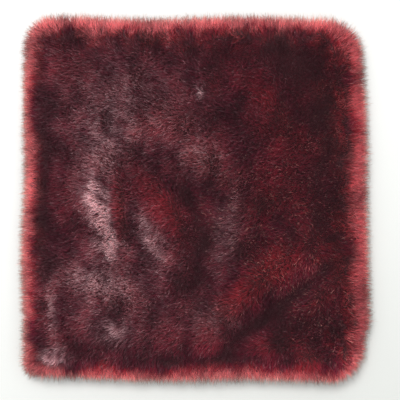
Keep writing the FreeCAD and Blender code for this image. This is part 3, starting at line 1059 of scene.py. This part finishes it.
@dataclass
class Pile:
    """The strands of one panel.

    Attributes:
        side: the front or rear layer.
        shape: the cover's shape.
        count: strands over the whole panel.
        bands: pieces that the strands are split into, from the near side to the far one.
        length: of a strand.
        width: of a strand at its root.
        seed: start of the random numbers.
        backing: thickness of the cloth it grows from.
        rooted: share of the backing's thickness between its inner face and the roots.
        uneven: spread of the strands' lengths, as a share.
        lowest: least level of a strand's middle line.
        ceiling: highest level of that line.
        upright: degrees from upright to the lay over the middle.
        fringe: depth of the edge strip that is grown more densely and longer.
        press: share by which the pile is shorter in a hollow.
        slit: the gap along the zip.
        lay: how the strands lie.
        edge: the look along the edge.
        pattern: the look over the panel.
    """

    side: Side
    shape: CoverShape
    count: int
    bands: int
    length: float
    width: float
    seed: int
    backing: float = 0.0012
    rooted: float = 0.6
    uneven: float = 0.11
    lowest: float = 0.0006
    ceiling: float = 0.0325
    upright: float = 20.0
    fringe: float = 0.006
    press: float = 0.38
    slit: Slit = Slit()
    lay: Lay = Lay()
    edge: EdgeLook = EdgeLook()
    pattern: PilePattern = PilePattern()

    def roots(self, rng: np.random.Generator) -> np.ndarray:
        """Even, jittered places inside the seam line.

        Args:
            rng: source of the jitter.

        Returns:
            x and y of each root.
        """
        shape = self.shape
        wide, long = shape.width - 2 * shape.rim, shape.length - 2 * shape.rim
        step = math.sqrt(0.97 * wide * long / self.count)
        fields = []
        for spacing, deepest in ((step, 1.0), (step * 0.72, self.fringe)):
            xs = np.arange(-shape.width / 2, shape.width / 2, spacing)
            ys = np.arange(-shape.length / 2, shape.length / 2, spacing)
            places = np.stack(np.meshgrid(xs, ys), axis=-1).reshape(-1, 2)
            places = places + rng.uniform(-0.5, 0.5, places.shape) * spacing
            depth = shape.depth(places)
            fields.append(places[(depth > 0.0002) & (depth < deepest)])
        return np.concatenate(fields)

    def lie(self, places: np.ndarray, rng: np.random.Generator) -> np.ndarray:
        """Direction in which each strand leaves the backing.

        Over the middle the pile leans one way with slow swirls. Towards an edge this gives
        way to a fan that faces outwards and is level at the seam. The two are blended as
        vectors, so the pile stands up where they oppose. Strands of one lock share part of
        their scatter.

        Args:
            places: x and y of the roots.
            rng: source of the scatter.

        Returns:
            A unit vector for each strand, upwards for the front panel.
        """
        lay = self.lay
        depth = np.maximum(self.shape.depth(places), 0.0)
        wobble = 0.35 * np.sin(places[:, ::-1] / lay.lock * 1.7)
        cell = np.floor(places / lay.lock + wobble).astype(int)
        key = (cell[:, 0] * LOCK_PRIMES[0] + cell[:, 1] * LOCK_PRIMES[1]) % LOCK_TABLE
        shared = np.random.default_rng(self.seed + 1).normal(size=(LOCK_TABLE, 2))[key]
        own = rng.normal(size=(len(places), 2))
        swirl = Ripple(self.seed + 5, lay.swirl_length).at(places)
        common, single = lay.heading_scatter
        heading = np.radians(
            lay.heading + lay.swirl * swirl + common * shared[:, 0] + single * own[:, 0]
        )
        upright = self.upright * (
            1.0 - lay.straighter * smooth(places[:, 0], *lay.straighter_band)
        )
        upright = upright + lay.sway * Ripple(self.seed + 7, lay.sway_length).at(places)
        common, single = lay.lean_scatter
        lean = np.radians(upright + common * shared[:, 1] + single * own[:, 1])
        inner = np.column_stack(
            [np.cos(heading) * np.sin(lean), np.sin(heading) * np.sin(lean), np.cos(lean)]
        )
        way = self.shape.outward(places)
        common, single = lay.fan_turn
        turn = np.radians(common * shared[:, 0] + single * own[:, 0])
        c, s = np.cos(turn), np.sin(turn)
        common, single = lay.fan_scatter
        fan = lay.fan - lay.fan_drop * smooth(depth, 0.0, lay.fan_depth)
        fan = fan + single * own[:, 1] + common * shared[:, 1]
        fan = np.radians(np.minimum(fan, lay.fan_limit))
        outer = np.column_stack(
            [
                (way[:, 0] * c - way[:, 1] * s) * np.sin(fan),
                (way[:, 0] * s + way[:, 1] * c) * np.sin(fan),
                np.cos(fan),
            ]
        )
        swing = lay.edge_swing * Ripple(self.seed + 6, lay.edge_length).at(places)
        share = (1.0 - smooth(depth, lay.edge_start, lay.edge_end + swing))[:, None]
        blended = outer * share + inner * (1.0 - share)
        if self.side is Side.FRONT:
            blended[:, :2] -= lay.downhill * self.shape.slope(places) * (1.0 - share)
        blended = unit(blended)
        blended[:, 2] *= self.side.value
        return blended

    def clear_zip(self, points: np.ndarray) -> np.ndarray:
        """Keep strands out of the slit that the slider and pull run in.

        Args:
            points: x, y and z of strand points.

        Returns:
            The points with their height held off the seam plane beside the zip.
        """
        shape, slit = self.shape, self.slit
        near = shape.near_zip(points, slit.behind, slit.beyond)
        past = -points[:, 1] + shape.zip_y
        keep = shape.zip_half + slit.spare - slit.lip * smooth(past, *slit.lip_band)
        off = self.side.value * (points[:, 2] - shape.seam_height)
        off = np.where(off < keep * near, keep * near, off)
        held = points.copy()
        held[:, 2] = shape.seam_height + self.side.value * off
        return held

    def masks(self, places: np.ndarray, rng: np.random.Generator) -> dict[str, np.ndarray]:
        """How much edge band, outer rim, painted light, painted sheen and random variation with
        painted shade each strand has, by plain weights.

        Args:
            places: x and y of the roots.
            rng: source of the variation.

        Returns:
            One array for each of the material's attributes.
        """
        look = self.edge
        depth = np.maximum(self.shape.depth(places), 0.0)
        outer = self.shape.outward(places)
        right, far = np.maximum(outer[:, 0], 0.0), np.maximum(outer[:, 1], 0.0)
        mottle = 0.6 * Ripple(self.seed + 8, look.mottle_lengths[0]).at(places)
        mottle = mottle + 0.6 * Ripple(self.seed + 9, look.mottle_lengths[1]).at(places)
        chance = rng.random((len(places), 1))
        own = rng.normal(size=(len(places), 2))
        band = look.band + look.band_sides * np.abs(outer[:, 0]) + look.band_right * right
        band = band + look.band_far * far
        band = band - look.band_near * np.maximum(-outer[:, 1], 0.0)
        rag = 0.34 * Ripple(self.seed + 10, look.rag_lengths[0]).at(places)
        rag = rag + 0.26 * Ripple(self.seed + 12, look.rag_lengths[1]).at(places)
        band = band * np.maximum(1.0 + rag + 0.18 * own[:, 0], 0.3)
        # The edge band: the shafts' own coral, brightened as painted light through the thin pile.
        coral_and_backlight = 1.0 - smooth(depth, band * 0.7, band * 1.5)
        inside = smooth(depth, *look.mottle_start)
        fold = inside * self.shape.relief(places) / self.shape.fold_height
        # Painted light: brighter on the ridges and just inside the edge band, with random variation
        # on top.
        verge = 1.0 - smooth(depth, band * 1.4, band * (2.4 + 0.8 * right))
        glow = 0.9 * np.maximum(fold, 0.0) + verge + 0.14 + 0.14 * mottle + 0.08 * own[:, 1]
        # Painted shade in the hollows.
        hollow_shade = np.clip(np.maximum(-fold, 0.0) - 0.14 * mottle, 0.0, 1.0)
        # Painted sheen on the patches, and painted glints on single strands where the fibres catch
        # the light.
        sheen_paint = patches_at(self.pattern.sheen_patches, self.shape.shares(places))
        ragged = 1.0 + 0.25 * mottle + 0.25 * Ripple(self.seed + 13, look.sheen_rag).at(places)
        sheen_paint = np.maximum(sheen_paint * smooth(depth, *look.sheen_start) * ragged, 0.0)
        glint = smooth(chance[:, 0], 0.84, 1.0) * (0.30 + 0.9 * sheen_paint)
        frost = sheen_paint * (0.35 + 0.95 * chance[:, 0]) + glint
        # Random variation, darkened by the painted shade in the hollows and raised under the painted
        # sheen.
        tint = rng.normal(0.5, 0.24, len(places)) + 0.12 * mottle
        tint = np.maximum(tint * (1.0 - 0.85 * hollow_shade), np.minimum(sheen_paint, 0.8))
        # The outer rim: coral shafts and olive-grey tips, as painted light through the thin strands.
        outer_rim = look.outer_rim - look.outer_rim_right * outer[:, 0] + look.outer_rim_far * outer[:, 1]
        return {
            "open": coral_and_backlight * (1.0 - 0.42 * right),
            "bleached": 1.0 - smooth(depth, look.outer_rim_start, outer_rim + look.outer_rim_scatter * own[:, 0]),
            "glow": np.clip(glow * (1.0 - 0.8 * hollow_shade), 0.0, 1.0),
            "frost": np.clip(frost, 0.0, 1.0),
            "tint": np.clip(tint, 0.0, 1.0),
        }

    def build(self, material: bpy.types.Material) -> list[bpy.types.Object]:
        """Grow the strands and split them into bands.

        Args:
            material: the pile's finish.

        Returns:
            The pieces, from the near side to the far one.
        """
        rng = np.random.default_rng(self.seed)
        places = self.roots(rng)
        first = self.lie(places, rng)
        masks = self.masks(places, rng)
        level = self.shape.backing_level(places, self.side)
        level = level + self.side.value * self.backing * self.rooted
        length = self.length * rng.normal(1.0, self.uneven, len(places))
        depth = np.maximum(self.shape.depth(places), 0.0)
        way = self.shape.outward(places)
        longer = 0.16 + 0.12 * np.maximum(way[:, 0], 0.0) + 0.08 * np.maximum(-way[:, 1], 0.0)
        longer = longer + patches_at(self.pattern.trimmed, self.shape.shares(places))
        length = length * (1.0 + longer * (1.0 - smooth(depth, 0.0, self.fringe)))
        if self.side is Side.FRONT:
            fold = self.shape.relief(places) / self.shape.fold_height
            pressed = np.clip(-fold, 0.0, 1.0) * smooth(depth, *self.edge.mottle_start)
            length = length * (1.0 - self.press * pressed)
        settled = self.shape.settle(places)
        base = np.column_stack([settled, level])
        second = first.copy()
        second[:, 2] -= self.side.value * np.abs(rng.normal(*self.lay.droop, len(places)))
        second = unit(second + self.lay.stray * rng.normal(size=second.shape))
        middle = base + first * (length * 0.5)[:, None]
        tip = middle + second * (length * 0.5)[:, None]
        base, middle, tip = (self.clear_zip(self.confine(p)) for p in (base, middle, tip))
        width = self.width * rng.uniform(0.75, 1.25, len(places))
        spin = rng.uniform(0.0, FULL_TURN, len(places))
        order = np.argsort(places[:, 1], kind="stable")
        pieces = []
        for index, chosen in enumerate(np.array_split(order, self.bands), start=1):
            name = f"{self.side.name.lower()}_pile_{index}"
            pieces.append(
                strand_mesh(
                    name,
                    (base[chosen], middle[chosen], tip[chosen]),
                    width[chosen],
                    spin[chosen],
                    {key: mask[chosen] for key, mask in masks.items()},
                    material,
                )
            )
        return pieces

    def confine(self, points: np.ndarray) -> np.ndarray:
        """Keep points off the floor and under the ceiling."""
        held = points.copy()
        held[:, 2] = np.clip(held[:, 2], self.lowest, self.ceiling)
        return held


def strand_mesh(
    name: str,
    line: tuple[np.ndarray, np.ndarray, np.ndarray],
    width: np.ndarray,
    spin: np.ndarray,
    masks: dict[str, np.ndarray],
    material: bpy.types.Material,
) -> bpy.types.Object:
    """Closed three-sided strands that taper from root to tip through a bend.

    Ring point k of a strand is its line point plus half its width at the angle spin plus
    k thirds of a turn, in the plane square to the line. The middle ring is narrower.

    Args:
        name: the piece's name.
        line: root, middle and tip of each strand.
        width: of each strand at the root.
        spin: turn of each strand about its own line.
        masks: one number a strand for each attribute.
        material: what it is made of.

    Returns:
        The piece.
    """
    base, middle, tip = line
    count = len(base)
    rings = []
    for at, direction, share in (
        (base, unit(middle - base), 1.0),
        (middle, unit(tip - base), WAIST),
    ):
        side = unit(np.cross(direction, np.array(ASIDE)))
        other = np.cross(direction, side)
        for k in range(3):
            angle = spin + k * FULL_TURN / 3
            offset = side * np.cos(angle)[:, None] + other * np.sin(angle)[:, None]
            rings.append(at + offset * (width * share / 2)[:, None])
    vertices = np.stack([*rings, tip], axis=1).reshape(-1, 3)
    vertices[:, 2] = np.maximum(vertices[:, 2], LEAST_LEVEL)
    sides = [[k, (k + 1) % 3, 3 + (k + 1) % 3, 3 + k] for k in range(3)]
    points = [[3 + k, 3 + (k + 1) % 3, 6] for k in range(3)]
    pattern = np.array(sum(sides, []) + sum(points, []) + [2, 1, 0])
    sizes = np.array([4, 4, 4, 3, 3, 3, 3])
    loops = (pattern[None, :] + 7 * np.arange(count)[:, None]).ravel()
    totals = np.tile(sizes, count)
    mesh = bpy.data.meshes.new(name)
    mesh.vertices.add(7 * count)
    mesh.vertices.foreach_set("co", vertices.astype(np.float32).ravel())
    mesh.loops.add(len(loops))
    mesh.loops.foreach_set("vertex_index", loops.astype(np.int32))
    mesh.polygons.add(len(totals))
    starts = np.concatenate([[0], np.cumsum(totals)[:-1]])
    mesh.polygons.foreach_set("loop_start", starts.astype(np.int32))
    mesh.polygons.foreach_set("use_smooth", np.ones(len(totals), bool))
    cells = strand_cells(count)
    mesh.uv_layers.new(name=BAKE_MAP).data.foreach_set("uv", cells.astype(np.float32).ravel())
    along = np.tile([0.0, 0.0, 0.0, 0.5, 0.5, 0.5, 1.0], count)
    for key, numbers in {"along": along, **{k: np.repeat(m, 7) for k, m in masks.items()}}.items():
        layer = mesh.attributes.new(key, "FLOAT", "POINT")
        layer.data.foreach_set("value", numbers.astype(np.float32))
    mesh.update()
    mesh.validate()
    return link_mesh(name, mesh, material)


def strand_cells(count: int) -> np.ndarray:
    """The bake map of a piece of strands: one small square cell for each strand.

    The three sides stand side by side in the cell, root at the bottom, and the root's cap
    lies in a strip below them.

    Args:
        count: number of strands.

    Returns:
        A u and v for every face corner, in the strands' face order.
    """
    foot, waist, top = 0.16, 0.55, 0.94
    cell = []
    for k in range(3):
        left, right = k / 3, (k + 1) / 3
        cell += [(left, foot), (right, foot), (right, waist), (left, waist)]
    for k in range(3):
        left, right = k / 3, (k + 1) / 3
        cell += [(left, waist), (right, waist), ((left + right) / 2, top)]
    cell += [(0.2, 0.02), (0.8, 0.02), (0.5, 0.12)]
    shape = np.array(cell) * np.array([0.86, 1.0]) + np.array([0.07, 0.0])
    across = math.ceil(math.sqrt(count))
    index = np.arange(count)
    corner = np.stack([index % across, index // across], axis=1)
    return ((corner[:, None, :] + shape[None, :, :]) / across).reshape(-1, 2)


# ---- sub-assemblies --------------------------------------------------------------------


@dataclass
class FurPanel:
    """One plush panel: a knitted backing with its pile.

    Attributes:
        pile: the strands and where they grow.
        node: the CAD solid it stands for.
    """

    pile: Pile
    node: str

    def build(
        self, cloth: bpy.types.Material, fibre: bpy.types.Material, rests_on: list[str]
    ) -> None:
        """Args:
            cloth: finish of the backing.
            fibre: finish of the pile.
            rests_on: what the panel lies on; not used.
        """
        pile, shape = self.pile, self.pile.shape
        label = f"{pile.side.name.lower()}_backing"
        sheet = LaidCloth(label, shape, 0.0, pile.backing)
        drop = 0.0 if pile.side is Side.FRONT else pile.backing

        def lower(points: np.ndarray) -> np.ndarray:
            """Under face of the backing."""
            return shape.backing_level(points, pile.side) - drop

        backing = sheet.build(lower, cloth)
        tufts = pile.build(fibre)
        for piece in (backing, *tufts):
            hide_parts(self.node)
            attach(piece, "cover")
        sheet.area()
        LOG.info("%s with %d bands of pile", label, len(tufts))


@dataclass
class Lining:
    """A thin lining, laid inside its panel and cut short of the zip.

    Attributes:
        side: the front or rear layer.
        shape: the cover's shape.
        thickness: of the cloth.
        inset: how far inside the seam line it ends.
        level: from the seam plane to the under face, upwards in front and downwards behind.
        ruck: height of the faint rucks.
        ruck_length: typical distance between two rucks.
        less: how much smaller than the cover the cloth is when flat, across and along; not used.
    """

    side: Side
    shape: CoverShape
    thickness: float = 0.0004
    inset: float = 0.0025
    level: float = 0.00054
    ruck: float = 0.00012
    ruck_length: float = 0.04
    less: tuple[float, float] = (0.029, 0.042)

    def build(self, cloth: bpy.types.Material, rests_on: list[str]) -> str:
        """Args:
            cloth: the lining's finish.
            rests_on: what it lies on; not used.

        Returns:
            The piece's name.
        """
        name = f"{self.side.name.lower()}_lining_cloth"
        sheet = LaidCloth(name, self.shape, self.inset, self.thickness, rings=16)
        under = self.shape.seam_height + self.side.value * self.level
        rucks = Ripple(RUCK_SEED + self.side.value, self.ruck_length)

        def lower(points: np.ndarray) -> np.ndarray:
            """Under face, with faint rucks."""
            return under + self.ruck * rucks.at(points)

        piece = sheet.build(lower, cloth, near_limit=self.shape.tape_back)
        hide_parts(f"{self.side.name.lower()}_lining")
        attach(piece, "cover")
        LOG.info("%s", name)
        return name


@dataclass
class StripCloth:
    """A narrow cloth strip: a profile in the Y-Z plane swept along X.

    Attributes:
        name: the piece's name.
        profile: corners of the middle line, as y and z.
        start: first x.
        end: last x.
        thickness: of the cloth.
        bend: share of each leg given to the rounded bends.
        stations: points along X.
        waver: how far the strip wavers.
    """

    name: str
    profile: tuple[tuple[float, float], ...]
    start: float
    end: float
    thickness: float = 0.0005
    bend: float = 0.25
    stations: int = 90
    waver: float = 0.00006

    def middle_line(self) -> np.ndarray:
        """The profile with its corners cut round by quadratic curves.

        Returns:
            y and z along the middle line.
        """
        corners = np.array(self.profile)
        line = [corners[0]]
        for before, here, after in zip(corners, corners[1:], corners[2:]):
            share = min(self.bend, 0.45)
            a, b = here + (before - here) * share, here + (after - here) * share
            t = np.linspace(0.0, 1.0, 6)[:, None]
            line.extend((1 - t) ** 2 * a + 2 * t * (1 - t) * here + t**2 * b)
        line.append(corners[-1])
        return np.array(line)

    def build(self, cloth: bpy.types.Material) -> bpy.types.Object:
        """Sweep the outline of the thick strip along X.

        The outline is the middle line moved half the thickness to either side along its
        normal, joined at both ends.

        Args:
            cloth: the strip's finish.

        Returns:
            The piece.
        """
        line = self.middle_line()
        tangent = unit(np.gradient(line, axis=0))
        normal = np.stack([-tangent[:, 1], tangent[:, 0]], axis=1) * self.thickness / 2
        outline = np.concatenate([line + normal, (line - normal)[::-1]])
        x = np.linspace(self.start, self.end, self.stations)
        grid = np.empty((len(x), len(outline), 3))
        grid[..., 0] = x[:, None]
        grid[..., 1:] = outline[None, :, :]
        grid[..., 2] += self.waver * np.sin(x * 130.0)[:, None]
        area = outline[:, 0] @ np.roll(outline[:, 1], -1) - outline[:, 1] @ np.roll(outline[:, 0], -1)
        if area < 0:
            grid = grid[:, ::-1]
        return grid_mesh(self.name, grid, True, True, cloth)

    def flat(self) -> tuple[float, float]:
        """Length of the strip and of its profile."""
        steps = np.diff(self.middle_line(), axis=0)
        return (self.end - self.start, float(np.linalg.norm(steps, axis=1).sum()))


@dataclass
class Zip:
    """The zip's cloth parts, its tapes and end tabs.

    Attributes:
        shape: the cover's shape.
        bead_top: from the seam plane to the root of the teeth.
        tape_level: from the seam plane to the flat part of a tape.
        tab_start: where the end tabs begin.
    """

    shape: CoverShape
    bead_top: float = 0.00312
    tape_level: float = 0.0047
    tab_start: float = 0.182

    def build(self, cloth: bpy.types.Material) -> None:
        """Args:
            cloth: finish of the tape.
        """
        shape = self.shape
        for side in Side:
            label = f"zip_tape_{side.name.lower()}"
            levels = [shape.seam_height + side.value * d for d in (self.bead_top, self.tape_level)]
            profile = (
                (shape.zip_y, levels[0]),
                (shape.zip_y, levels[1]),
                (shape.tape_back, levels[1]),
            )
            strip = StripCloth(f"{label}_cloth", profile, -shape.tape_end, shape.tape_end)
            piece = strip.build(cloth)
            self.declare(piece, label)
        for label, start in (("left", -shape.tape_end), ("right", self.tab_start)):
            top = shape.seam_height + self.tape_level - 0.0006
            low = shape.seam_height - self.tape_level + 0.0006
            back, fold = shape.tape_back - 0.003, shape.zip_y + 0.0012
            profile = ((back, top), (fold, top), (fold, low), (back, low))
            end = start + shape.tape_end - self.tab_start
            strip = StripCloth(
                f"zip_end_tab_{label}_cloth", profile, start, end, 0.0007, 0.3, 8, 0.0
            )
            piece = strip.build(cloth)
            self.declare(piece, f"zip_end_tab_{label}")

    def declare(
        self,
        piece: bpy.types.Object,
        node: str,
    ) -> None:
        """Hide the CAD node a cloth part stands for and attach the part to the cover."""
        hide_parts(node)
        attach(piece, "cover")
        LOG.info("%s", piece.name)


@dataclass
class Hardware:
    """Finishes for the pieces shown as they are in the frame.

    Attributes:
        finishes: each material slot's finish.
    """

    finishes: dict[str, HardFinish | ClothFinish]

    def dress(self) -> None:
        """Give every shown CAD node the finish of its slot."""
        record = frame["record"]
        made = {slot: finish.material() for slot, finish in self.finishes.items()}
        for part in record["subparts"]:
            material = made.get(part["material_slot"])
            if material is None:
                continue
            node = frame["nodes"][part["node"]]
            for slot in node.material_slots:
                slot.material = material
            LOG.info("%s dressed", part["node"])


@dataclass(frozen=True)
class Studio:
    """The pale board, the soft light and the camera overhead.

    Attributes:
        eye_height: of the camera above the pile's middle.
        view_width: what the camera sees across at the pile's middle.
        centre: what the camera looks at.
        surround: strength of the white surround.
        sun: strength of the broad sun.
        sun_spread: its angle, in degrees.
        sun_tilt: its turns about X and Y from straight down, in degrees.
        board: half the board's side.
    """

    eye_height: float = 1.5
    view_width: float = 0.512
    centre: tuple[float, float] = (0.0058, -0.0013)
    surround: float = 0.81
    sun: float = 2.05
    sun_spread: float = 28
    sun_tilt: tuple[float, float] = (-28, -16)
    board: float = 3.0

    def build(self) -> None:
        """Set up the floor, light and camera."""
        self.floor()
        self.lights()
        self.camera()

    def floor(self) -> None:
        """A large pale board, a little darker towards the near right as a painted falloff of light,
        with faint random variation.
        """
        half = self.board
        mesh = bpy.data.meshes.new("board")
        mesh.from_pydata(
            [(-half, -half, 0), (half, -half, 0), (half, half, 0), (-half, half, 0)],
            [],
            [(0, 1, 2, 3)],
        )
        material, nodes, shader = new_material("pale board")
        split = nodes.add("ShaderNodeSeparateXYZ")
        nodes.link(nodes.add("ShaderNodeTexCoord").outputs["Object"], split.inputs[0])
        # Painted falloff of light: the board darkens towards the near right.
        away = nodes.maths("MULTIPLY_ADD", split.outputs[1], 1.3, 0.48)
        painted_falloff = nodes.maths("MULTIPLY_ADD", split.outputs[0], -0.55, away)
        falloff_and_variation = nodes.maths("MULTIPLY_ADD", nodes.noise(3.0), 0.06, painted_falloff)
        near, middle, far = (0.62, 0.63, 0.60, 1), (0.78, 0.785, 0.76, 1), (0.90, 0.90, 0.89, 1)
        colour = nodes.ramp(falloff_and_variation, [(0.0, near), (0.5, middle), (1.0, far)])
        nodes.link(colour, shader.inputs["Base Color"])
        shader.inputs["Roughness"].default_value = 0.9
        shader.inputs["Specular IOR Level"].default_value = 0.1
        link_mesh("board", mesh, material)

    def lights(self) -> None:
        """A white surround and a broad soft sun from the far left."""
        world = bpy.data.worlds.new("surround")
        world.use_nodes = True
        background = world.node_tree.nodes["Background"]
        background.inputs["Color"].default_value = (0.97, 0.985, 1.0, 1.0)
        background.inputs["Strength"].default_value = self.surround
        bpy.context.scene.world = world
        light = bpy.data.lights.new("broad sun", "SUN")
        light.energy = self.sun
        light.angle = math.radians(self.sun_spread)
        sun = bpy.data.objects.new("broad sun", light)
        sun.rotation_euler = (*map(math.radians, self.sun_tilt), 0.0)
        bpy.context.scene.collection.objects.link(sun)

    def camera(self) -> None:
        """A long lens straight overhead."""
        data = bpy.data.cameras.new("overhead")
        data.sensor_width = 36.0
        data.lens = data.sensor_width * self.eye_height / self.view_width
        eye = bpy.data.objects.new("overhead", data)
        eye.location = (*self.centre, self.eye_height + 0.018)
        bpy.context.scene.collection.objects.link(eye)
        bpy.context.scene.camera = eye
        bpy.context.scene.view_settings.view_transform = "Standard"


def main() -> None:
    """Build every piece in order and report it."""
    logging.basicConfig(level=logging.INFO, format="%(message)s")
    shape = CoverShape()
    knit = ClothFinish("knitted backing", (0.030, 0.005, 0.008), (0.075, 0.012, 0.018), 700)
    lawn = ClothFinish("lining cloth", (0.030, 0.006, 0.010), (0.085, 0.018, 0.026), 1500)
    tape = ClothFinish("zip tape", (0.020, 0.004, 0.006), (0.090, 0.014, 0.022), 1900)
    fibre = PileFinish().material()
    knitted, lining = knit.material(), lawn.material()
    rear = Pile(Side.REAR, shape, 22500, 2, 0.0135, 0.00080, 200, upright=72.0)
    front = Pile(Side.FRONT, shape, 141500, 10, 0.0135, 0.00050, 100)
    FurPanel(rear, "rear_fur_panel").build(knitted, fibre, ["board"])
    low = Lining(Side.REAR, shape).build(lining, ["rear_backing"])
    high = Lining(Side.FRONT, shape).build(lining, [low])
    FurPanel(front, "front_fur_panel").build(knitted, fibre, [high])
    Zip(shape).build(tape.material())
    Hardware(
        {
            "zip_teeth": HardFinish(
                "moulded teeth", (0.035, 0.008, 0.011), (0.07, 0.02, 0.025), 0.38
            ),
            "slider_metal": HardFinish(
                "enamelled slider", (0.030, 0.006, 0.009), (0.25, 0.22, 0.21), 0.32
            ),
            "stop_metal": HardFinish(
                "plated stops", (0.50, 0.48, 0.47), (0.32, 0.30, 0.29), 0.30, 1.0
            ),
            "sewing_thread": ClothFinish(
                "sewing thread", (0.05, 0.008, 0.014), (0.17, 0.03, 0.045), 4200, 0.0001
            ),
        }
    ).dress()
    Studio().build()


if __name__ == "__main__":
    main()
